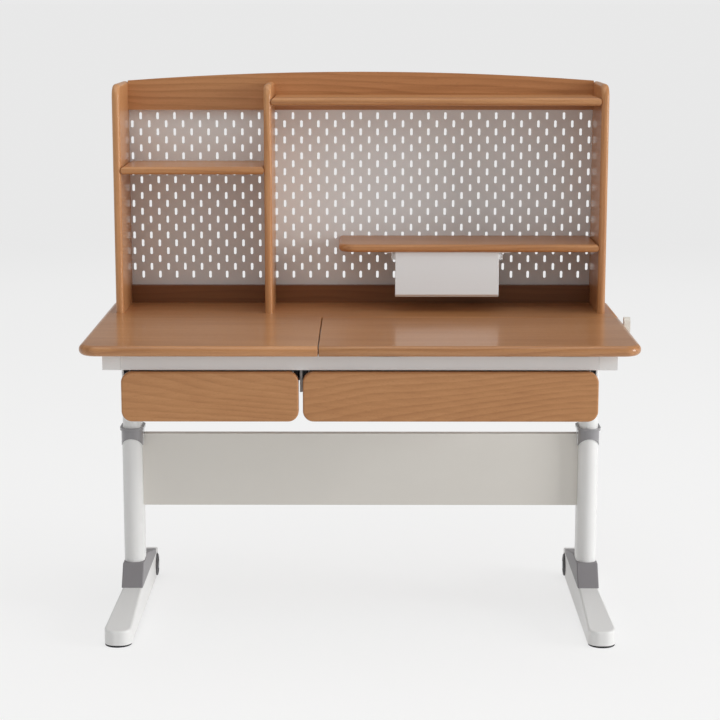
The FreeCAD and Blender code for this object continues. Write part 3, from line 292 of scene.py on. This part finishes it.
# nodes whose finish differs from their slot's
panelFinish = paintFinish("warm_grey_panel_coat", (236, 232, 225), (229, 225, 218),
                          roughness=0.45, grain=700.0, bump=0.12)
# the front and rear frame rails take a slightly darker copy of the white powder coat: painted shade for their
# place under the top
shadedRailFinish = paintFinish("frame_powder_coat_painted_shade", (238, 237, 236), (232, 231, 230),
                          roughness=0.42, grain=700.0, bump=0.12)
collarFinish = paintFinish("polished_grey_moulding", (150, 148, 151), (142, 140, 143),
                           roughness=0.3, grain=1500.0, bump=0.08, coat=1.0)
crankFinish = paintFinish("crank_moulding", (238, 233, 223), (231, 226, 216),
                          roughness=0.4, grain=1500.0, bump=0.12)
runnerFinish = steelFinish("blackened_runner", (74, 74, 76), (52, 52, 54))
ownFinishes = {
    "modesty_panel": panelFinish, "front_frame_rail": shadedRailFinish, "rear_frame_rail": shadedRailFinish,
    "left_collar": collarFinish, "right_collar": collarFinish,
    "crank_arm": crankFinish, "crank_grip": crankFinish,
    "left_outer_runners": runnerFinish, "right_outer_runners": runnerFinish,
    "left_inner_runners": runnerFinish, "right_inner_runners": runnerFinish,
}
for node, finish in ownFinishes.items():
    dress(nodes[node], finish)
print("finishes set")


def newPiece(name, mesh, body, finish):
    built = bpy.data.meshes.new(name)
    mesh.normal_update()
    mesh.to_mesh(built)
    mesh.free()
    piece = bpy.data.objects.new(name, built)
    scene.collection.objects.link(piece)
    dress(piece, finish)
    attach(piece, body)
    return piece


# joinWithin and flatWithin (m, degrees) make CAD faces whole before their edges are eased
edgeWork = {"joinWithin": 0.00001, "flatWithin": 0.5, "sharpFrom": 40, "segments": 2}


def softEdges(piece, name, width, sharpFrom):
    bevel = piece.modifiers.new(name, "BEVEL")
    bevel.width = width
    bevel.segments = edgeWork["segments"]
    bevel.limit_method = "ANGLE"
    bevel.angle_limit = math.radians(sharpFrom)
    bevel.harden_normals = True


# back sheet with round-ended slots, row by row (m)
# each field between two half pitches has a slot at one side
sheet = {"pitch": 0.0405, "row": 0.0191, "rows": 21, "topRow": 1.133,
         "slotWidth": 0.0062, "slotLength": 0.017, "wide": 27, "narrow": 26, "roundSteps": 6}


def makeSlottedSheet():
    lowest, highest = (Vector(corner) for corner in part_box("slotted_back_sheet"))
    half = sheet["pitch"] / 2
    last = sheet["wide"] + 1
    levels = [sheet["topRow"] + (0.5 - row) * sheet["row"] for row in range(sheet["rows"] + 1)]
    levels = [highest.z] + levels + [lowest.z]
    mesh = bmesh.new()
    made = {}

    def corner(across, level, back):
        key = (across, level, back)
        if key not in made:
            x = across * half if abs(across) < last else math.copysign(highest.x, across)
            made[key] = mesh.verts.new((x, highest.y if back else lowest.y, levels[level]))
        return made[key]

    def slotEdge(across, row, side, back):  # from the slot's lower tip up one side to its upper tip
        radius = sheet["slotWidth"] / 2
        straight = sheet["slotLength"] / 2 - radius
        points = []
        for end, start in ((-1, -90), (1, 0)):
            for step in range(sheet["roundSteps"] + 1):
                turn = math.radians(start + 90 * step / sheet["roundSteps"])
                points.append((side * radius * math.cos(turn), end * straight + radius * math.sin(turn)))
        edge = []
        for index, (x, z) in enumerate(points):
            tip = index in (0, len(points) - 1)
            key = (across, row, 0 if tip else side, index, back)
            if key not in made:
                made[key] = mesh.verts.new((across * half + x, highest.y if back else lowest.y,
                                            sheet["topRow"] - row * sheet["row"] + z))
            edge.append(made[key])
        return edge

    for level in range(len(levels) - 1):
        row = level - 1
        slotted = 0 <= row < sheet["rows"]
        reach = sheet["wide"] if row % 2 else sheet["narrow"]
        for across in range(-last, last):
            for back in (False, True):
                outline = [corner(across, level + 1, back), corner(across + 1, level + 1, back)]
                if slotted and (across + 1 - reach) % 2 == 0 and abs(across + 1) <= reach:
                    outline += slotEdge(across + 1, row, -1, back)
                outline += [corner(across + 1, level, back), corner(across, level, back)]
                if slotted and (across - reach) % 2 == 0 and abs(across) <= reach:
                    outline += reversed(slotEdge(across, row, 1, back))
                mesh.faces.new(reversed(outline) if back else outline)
        if slotted:
            for across in range(-reach, reach + 1, 2):
                for side in (-1, 1):
                    front, rear = slotEdge(across, row, side, False), slotEdge(across, row, side, True)
                    for index in range(len(front) - 1):
                        wall = [front[index], front[index + 1], rear[index + 1], rear[index]]
                        mesh.faces.new(wall if side < 0 else reversed(wall))
        for across, turned in ((-last, False), (last, True)):
            side = [corner(across, level, False), corner(across, level + 1, False),
                    corner(across, level + 1, True), corner(across, level, True)]
            mesh.faces.new(reversed(side) if turned else side)
    for level, turned in ((0, True), (len(levels) - 1, False)):
        for across in range(-last, last):
            side = [corner(across, level, False), corner(across + 1, level, False),
                    corner(across + 1, level, True), corner(across, level, True)]
            mesh.faces.new(side if turned else reversed(side))
    bmesh.ops.recalc_face_normals(mesh, faces=mesh.faces)
    piece = newPiece("slotted_sheet", mesh, "lifting_frame", finishes["white_sheet"])
    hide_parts("slotted_back_sheet")
    return piece


print("slotted sheet made:", len(makeSlottedSheet().data.polygons), "faces")

# pressed, moulded and sawn edges are eased on CAD pieces (m)
easedEdges = {
    "front_frame_rail": 0.0012, "rear_frame_rail": 0.0012, "left_frame_arm": 0.003, "right_frame_arm": 0.003,
    "left_drawer_hanger": 0.0006, "middle_drawer_hanger": 0.0012, "right_drawer_hanger": 0.0006,
    "left_drawer_tray": 0.0008, "right_drawer_tray": 0.0008, "modesty_panel": 0.0008,
    "left_box_holder": 0.0008, "right_box_holder": 0.0008,
    "left_stay_track": 0.0006, "right_stay_track": 0.0006, "stay_brackets": 0.001,
    "left_gearbox": 0.001, "right_gearbox": 0.001, "fixed_top": 0.0018, "tilting_top": 0.0018,
}


def easeEdges(piece, width):
    weld = piece.modifiers.new("joined_corners", "WELD")
    weld.merge_threshold = edgeWork["joinWithin"]
    flat = piece.modifiers.new("whole_faces", "DECIMATE")
    flat.decimate_type = "DISSOLVE"
    flat.angle_limit = math.radians(edgeWork["flatWithin"])
    softEdges(piece, "eased_edge", width, edgeWork["sharpFrom"])


for node, width in easedEdges.items():
    easeEdges(nodes[node], width)
print("edges eased:", len(easedEdges))

# pencil box: front plate sloped in at its foot, tray with round corners and two slide bars (m)
pencilBox = {"plate": 0.003, "slopeDepth": 0.008, "slopeHeight": 0.0065, "side": 0.004, "wall": 0.002,
             "floorRise": 0.004, "corner": 0.007, "leastCorner": 0.001, "floorRound": 0.004,
             "barWidth": 0.009, "barHeight": 0.0115, "barDrop": 0.003, "trayTop": 0.0117, "seat": 0.0005,
             "edge": 0.0009, "steps": 6}


def addPrism(mesh, outline, start, end):  # (y, z) outline pushed along X
    ends = [[mesh.verts.new((x, y, z)) for y, z in outline] for x in (start, end)]
    for index in range(len(outline)):
        after = (index + 1) % len(outline)
        mesh.faces.new((ends[0][index], ends[0][after], ends[1][after], ends[1][index]))
    mesh.faces.new(reversed(ends[0]))
    mesh.faces.new(ends[1])


def roundedRing(mesh, low, high, inset, z):  # rectangle with round corners at one height
    radius = max(pencilBox["corner"] - inset, pencilBox["leastCorner"])
    ring = []
    for cornerX, cornerY, start in ((high[0], high[1], 0), (low[0], high[1], 90),
                                    (low[0], low[1], 180), (high[0], low[1], 270)):
        middleX = cornerX + math.copysign(inset + radius, low[0] + high[0] - 2 * cornerX)
        middleY = cornerY + math.copysign(inset + radius, low[1] + high[1] - 2 * cornerY)
        for step in range(pencilBox["steps"] + 1):
            turn = math.radians(start + 90 * step / pencilBox["steps"])
            x, y = middleX + radius * math.cos(turn), middleY + radius * math.sin(turn)
            ring.append(mesh.verts.new((x, y, z)))
    return ring


def makePencilBox():
    low, high = (Vector(corner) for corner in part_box("pencil_box"))
    barOut = pencilBox["barWidth"] - pencilBox["side"]
    left, right = low.x + barOut, high.x - barOut
    mesh = bmesh.new()
    plate, slope = pencilBox["plate"], pencilBox["slopeHeight"]
    foot = low.y + pencilBox["slopeDepth"]
    addPrism(mesh, [(low.y, high.z), (low.y, low.z + slope), (foot, low.z), (foot, low.z + plate),
                    (low.y + plate, low.z + slope + plate / 2), (low.y + plate, high.z)], left, right)
    turns = [math.radians(90 * step / pencilBox["steps"]) for step in range(pencilBox["steps"] + 1)]
    wall, rise, soft = pencilBox["wall"], low.z + pencilBox["floorRise"], pencilBox["floorRound"]
    side, seat = pencilBox["side"], pencilBox["seat"]
    corners = ((left + side, low.y + plate - seat), (right - side, high.y))
    top = high.z - pencilBox["trayTop"]
    rings = [roundedRing(mesh, *corners, soft * (1 - math.sin(turn)), rise + soft * (1 - math.cos(turn)))
             for turn in turns]
    rings += [roundedRing(mesh, *corners, 0, top), roundedRing(mesh, *corners, wall, top),
              roundedRing(mesh, *corners, wall, rise + wall)]
    for lower, upper in zip(rings, rings[1:]):
        for index in range(len(lower)):
            after = (index + 1) % len(lower)
            mesh.faces.new((lower[index], lower[after], upper[after], upper[index]))
    mesh.faces.new(reversed(rings[0]))
    mesh.faces.new(rings[-1])
    barBottom = top - pencilBox["barDrop"]
    barTop = barBottom + pencilBox["barHeight"]
    front, back = corners[0][1], high.y
    for start, end in ((low.x, corners[0][0] + seat), (corners[1][0] - seat, high.x)):
        addPrism(mesh, [(front, barBottom), (back, barBottom), (back, barTop), (front, barTop)], start, end)
    bmesh.ops.recalc_face_normals(mesh, faces=mesh.faces)
    piece = newPiece("hanging_pencil_box", mesh, "sliding_box", finishes["white_plastic"])
    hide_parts("pencil_box")
    softEdges(piece, "eased_edge", pencilBox["edge"], edgeWork["sharpFrom"])


makePencilBox()
print("pencil box made")

# transport wheel: flat hub, dished web, tread with two grooves and rounded shoulders (m)
wheel = {"bore": 0.00505, "hub": 0.0115, "rim": 0.0205, "radius": 0.027, "width": 0.016, "dish": 0.002,
         "dishSlope": 0.0012, "shoulder": 0.0022, "shoulderTurns": (0, 30, 60, 90), "groovesAt": (0.38, 0.62),
         "groove": 0.0008, "grooveTop": 0.0009, "grooveBottom": 0.0005,
         "edge": 0.0005, "sharpFrom": 35, "steps": 56}


def wheelProfile():  # (across, radius) from the bore's near edge round to its far edge
    width, radius, shoulder = wheel["width"], wheel["radius"], wheel["shoulder"]
    tread = [(shoulder * (1 - math.cos(turn)), radius - shoulder * (1 - math.sin(turn)))
             for turn in map(math.radians, wheel["shoulderTurns"])]
    grooves = []
    for share in wheel["groovesAt"]:
        middle, foot = width * share, radius - wheel["groove"]
        grooves += [(middle - wheel["grooveTop"], radius), (middle - wheel["grooveBottom"], foot),
                    (middle + wheel["grooveBottom"], foot), (middle + wheel["grooveTop"], radius)]
    near = [(0, wheel["bore"]), (0, wheel["hub"]), (wheel["dish"], wheel["hub"] + wheel["dishSlope"]),
            (wheel["dish"], wheel["rim"] - wheel["dishSlope"]), (0, wheel["rim"])]
    far = [(width - across, height) for across, height in reversed(near)]
    return near + tread + grooves + [(width - across, height) for across, height in reversed(tread)] + far


def makeTurned(name, profile, centre, sign, steps, body, finish):  # the profile turned about X
    mesh = bmesh.new()
    rings = []
    for step in range(steps):
        turn = 2 * math.pi * step / steps
        rings.append([mesh.verts.new((centre[0] + sign * across, centre[1] + radius * math.cos(turn),
                                      centre[2] + radius * math.sin(turn))) for across, radius in profile])
    for step in range(steps):
        here, there = rings[step], rings[(step + 1) % steps]
        for index in range(len(profile)):
            after = (index + 1) % len(profile)
            mesh.faces.new((here[index], there[index], there[after], here[after])).smooth = True
    bmesh.ops.recalc_face_normals(mesh, faces=mesh.faces)
    piece = newPiece(name, mesh, body, finish)
    softEdges(piece, "soft_turns", wheel["edge"], wheel["sharpFrom"])
    return piece


for side, sign in (("left", -1), ("right", 1)):
    lowest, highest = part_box(side + "_wheel")
    inner = highest[0] if sign < 0 else lowest[0]
    centre = (inner, (lowest[1] + highest[1]) / 2, (lowest[2] + highest[2]) / 2)
    piece = makeTurned(side + "_transport_wheel", wheelProfile(), centre, sign, wheel["steps"],
                       side + "_wheel_part", finishes["dark_plastic"])
    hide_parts(side + "_wheel")
print("wheels turned")

# floor, lights and camera (m, W); floorShare is how much of the seen floor is plain glow
white = (1, 1, 1, 1)
studio = {
    "floorReach": 1500.0, "floor": srgb(243, 243, 242), "floorShade": srgb(239, 239, 238),
    "floorCloud": (1.5, 2.0, 0.5), "floorRoughness": 0.9, "floorSpecular": 0.1,
    # floorFar is a darker glow for the far floor: painted shade standing in for the light falling off with
    # distance
    "floorNear": white, "floorFar": (0.81, 0.81, 0.81, 1), "floorFade": (3.5, 7.5), "floorShare": 0.7,
    "light": 0.46, "seenLow": (0.82, 0.82, 0.82, 1), "seenHigh": (0.26, 0.26, 0.26, 1), "seenRise": 0.16,
    "key": {"at": (9.5, -3.0, 2.4), "size": (3.4, 4.6), "power": 510.0},
    "above": {"at": (0.0, -0.4, 4.2), "size": (4.0, 4.0), "power": 50.0},
    "aim": (0.0, 0.1, 0.7),
}


def seenRays(wire):  # 1 for rays that show the background: straight, mirrored or through something clear
    camera, glossy, clear = (wire.node("ShaderNodeLightPath", None, None, name)
                             for name in ("Is Camera Ray", "Is Glossy Ray", "Is Transmission Ray"))
    return camera.math("MAXIMUM", camera, camera.math("MAXIMUM", glossy, clear))


def makeFloor():
    mesh = bpy.data.meshes.new("floor")
    reach = studio["floorReach"]
    corners = [(-reach, -reach, 0), (reach, -reach, 0), (reach, reach, 0), (-reach, reach, 0)]
    mesh.from_pydata(corners, [], [(0, 1, 2, 3)])
    floor = bpy.data.objects.new("floor", mesh)
    scene.collection.objects.link(floor)
    finish, wire = newFinish("pale_floor")
    place = objectPlace(wire)
    cloud = noise(wire, place, *studio["floorCloud"])
    lit = wire.node("ShaderNodeBsdfPrincipled", None,
                    {"Base Color": mixColour(wire, cloud, studio["floor"], studio["floorShade"]),
                     "Roughness": studio["floorRoughness"], "Specular IOR Level": studio["floorSpecular"]})
    distance = wire.node("ShaderNodeVectorMath", {"operation": "LENGTH"}, {0: place}, "Value")
    away = eased(wire, distance, *studio["floorFade"])  # far off, the floor no longer shows the lamps' pools
    # the seen floor's glow fades from white near the desk to a darker grey far off: painted shade of the far
    # floor
    plain = mixColour(wire, away, studio["floorNear"], studio["floorFar"])
    glow = wire.node("ShaderNodeEmission", None, {"Color": plain, "Strength": 1.0})
    share = away * (1 - studio["floorShare"]) + studio["floorShare"]
    both = wire.node("ShaderNodeMixShader", None, {0: seenRays(wire) * share, 1: lit, 2: glow})
    wire.node("ShaderNodeOutputMaterial", None, {"Surface": both})
    dress(floor, finish)


def makeLight(name, settings):
    lamp = bpy.data.lights.new(name, "AREA")
    lamp.shape = "RECTANGLE"
    lamp.size, lamp.size_y = settings["size"]
    lamp.energy = settings["power"]
    holder = bpy.data.objects.new(name, lamp)
    scene.collection.objects.link(holder)
    holder.location = settings["at"]
    towards = Vector(studio["aim"]) - Vector(settings["at"])
    holder.rotation_euler = towards.to_track_quat("-Z", "Y").to_euler()


def makeWorld():
    world = bpy.data.worlds.new("studio")
    scene.world = world
    world.use_nodes = True
    world.node_tree.nodes.clear()
    wire = Wire(world.node_tree)
    light = wire.node("ShaderNodeBackground", None, {"Color": white, "Strength": studio["light"]})
    aim = wire.node("ShaderNodeTexCoord", None, None, "Generated")
    height = wire.node("ShaderNodeSeparateXYZ", None, {"Vector": aim}, "Z")
    sky = mixColour(wire, eased(wire, height, 0.0, studio["seenRise"]), studio["seenLow"], studio["seenHigh"])
    seen = wire.node("ShaderNodeBackground", None, {"Color": sky, "Strength": 1.0})
    both = wire.node("ShaderNodeMixShader", None, {0: seenRays(wire), 1: light, 2: seen})
    wire.node("ShaderNodeOutputWorld", None, {"Surface": both})


makeFloor()
makeWorld()
for lightName in ("key", "above"):
    makeLight(lightName, studio[lightName])

# m, mm and degrees
view = {"at": (0.0149, -4.426, 1.4025), "lens": 98.6, "sensor": 36.0, "down": 10.31, "turn": 0.20}
camera = bpy.data.cameras.new("camera")
camera.sensor_width = view["sensor"]
camera.lens = view["lens"]
cameraHolder = bpy.data.objects.new("camera", camera)
cameraHolder.location = view["at"]
cameraHolder.rotation_euler = (math.radians(90 - view["down"]), 0.0, math.radians(view["turn"]))
scene.collection.objects.link(cameraHolder)
scene.camera = cameraHolder
print("studio set")
